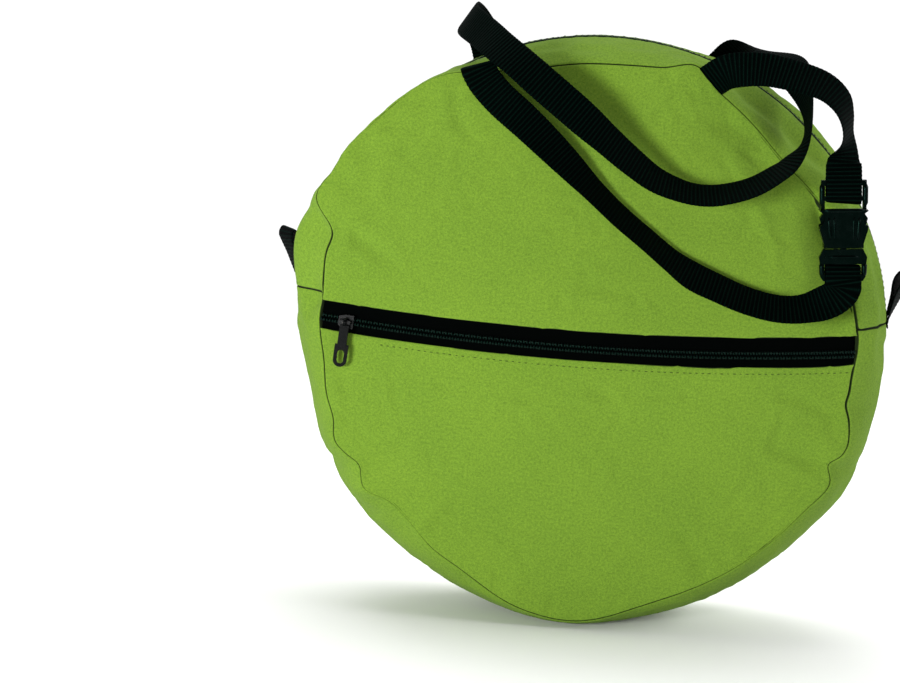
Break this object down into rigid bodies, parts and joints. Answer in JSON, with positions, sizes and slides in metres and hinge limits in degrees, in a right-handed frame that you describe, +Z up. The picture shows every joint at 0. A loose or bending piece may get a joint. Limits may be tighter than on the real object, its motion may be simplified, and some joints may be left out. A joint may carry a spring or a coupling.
{
  "type": "rope storage bag",
  "caption": "Round drum-shaped rope bag in green cloth with a zipped mouth, a zipped front pocket and webbing handles with a side-release buckle.",
  "frame": {"origin": "centre of the flat patch that the bag stands on, at the bottom of the gusset", "axes": "+X to the bag's right across the front, +Y from the pocket side to the back along the bag's axis, +Z up"},
  "size_m": [0.4716, 0.1647, 0.4511],
  "materials": {
    "green_cloth": "matt woven polyester cloth",
    "lining_cloth": "matt woven lining",
    "zip_tape": "herringbone woven tape",
    "zip_coil": "nylon coil",
    "zip_metal": "black enamel, a little worn",
    "webbing": "ribbed polypropylene webbing",
    "buckle_plastic": "satin moulded acetal"
  },
  "bodies": {
    "bag": {"pocket_panel": "green_cloth", "front_panel_fold": "green_cloth", "pocket_lining": "lining_cloth", "back_panel": "green_cloth", "gusset_lower": "green_cloth", "gusset_upper_back": "green_cloth", "main_zip_tape_back": "zip_tape", "main_zip_coil_back": "zip_coil", "pocket_zip_tape_upper": "zip_tape", "pocket_zip_tape_lower": "zip_tape", "pocket_zip_coil_upper": "zip_coil", "pocket_zip_coil_lower": "zip_coil", "side_tab_left": "webbing", "side_tab_right": "webbing"},
    "flap": {"front_panel_upper": "green_cloth", "gusset_upper_front": "green_cloth", "main_zip_tape_front": "zip_tape", "main_zip_coil_front": "zip_coil"},
    "main_slider": {"main_zip_slider": "zip_metal"},
    "main_pull": {"main_zip_pull": "zip_metal"},
    "pocket_slider": {"pocket_zip_slider": "zip_metal"},
    "pocket_pull": {"pocket_zip_pull": "zip_metal"},
    "front_handle": {"handle_webbing_long": "webbing", "handle_webbing_plug_end": "webbing", "handle_webbing_short": "webbing", "handle_sewn_end_left": "webbing", "handle_sewn_end_right": "webbing", "buckle_socket": "buckle_plastic"},
    "plug": {"buckle_plug": "buckle_plastic"},
    "latch_left": {"buckle_latch_left": "buckle_plastic"},
    "latch_right": {"buckle_latch_right": "buckle_plastic"},
    "back_handle": {"back_handle_webbing": "webbing"}
  },
  "joints": [
    {"name": "flap_open", "type": "hinge", "parent": "bag", "child": "flap", "pos_m": [0, -0.0685, 0.2375], "axis": [1, 0, 0], "range_deg": [0, 60], "deforming": ["main_zip_tape_front", "main_zip_coil_front", "back_handle_webbing"]},
    {"name": "main_slider_run", "type": "hinge", "parent": "bag", "child": "main_slider", "pos_m": [0, 0, 0.2145], "axis": [0, 1, 0], "range_deg": [0, 133]},
    {"name": "main_pull_flip", "type": "hinge", "parent": "main_slider", "child": "main_pull", "pos_m": [-0.20908, 0, 0.2906], "axis": [0, -1, 0], "range_deg": [0, 120]},
    {"name": "pocket_slider_run", "type": "hinge", "parent": "bag", "child": "pocket_slider", "pos_m": [0, 0.99391, 0.90714], "axis": [0, -0.5477, 0.8367], "range_deg": [0, 16.2]},
    {"name": "pocket_pull_swing", "type": "hinge", "parent": "pocket_slider", "child": "pocket_pull", "pos_m": [-0.17963, -0.06315, 0.21897], "axis": [-0.99, 0.118, 0.0772], "range_deg": [0, 165]},
    {"name": "front_handle_swing", "type": "hinge", "parent": "flap", "child": "front_handle", "pos_m": [-0.08899, -0.058, 0.39696], "axis": [-0.9986, 0, -0.0523], "range_deg": [0, 175], "deforming": ["handle_sewn_end_left", "handle_sewn_end_right"]},
    {"name": "buckle_release", "type": "slide", "parent": "front_handle", "child": "plug", "axis": [0.0785, 0, -0.9969], "range_m": [0, 0.03], "deforming": ["handle_webbing_plug_end", "buckle_latch_left", "buckle_latch_right"]},
    {"name": "latch_left_squeeze", "type": "hinge", "parent": "plug", "child": "latch_left", "pos_m": [0.163, -0.079, 0.29901], "axis": [0, 1, 0], "range_deg": [0, 7], "stiffness_Nm_per_rad": 0.02},
    {"name": "latch_right_squeeze", "type": "hinge", "parent": "plug", "child": "latch_right", "pos_m": [0.17895, -0.079, 0.30027], "axis": [0, -1, 0], "range_deg": [0, 7], "stiffness_Nm_per_rad": 0.02},
    {"name": "back_handle_swing", "type": "hinge", "parent": "bag", "child": "back_handle", "pos_m": [-0.08899, 0.058, 0.39696], "axis": [-0.9997, 0, -0.0262], "range_deg": [0, 90]}
  ],
  "couplings": [
    {"joint": "main_slider_run", "follows": "flap_open", "ratio": 2.2167},
    {"joint": "latch_right_squeeze", "follows": "latch_left_squeeze", "ratio": 1}
  ]
}
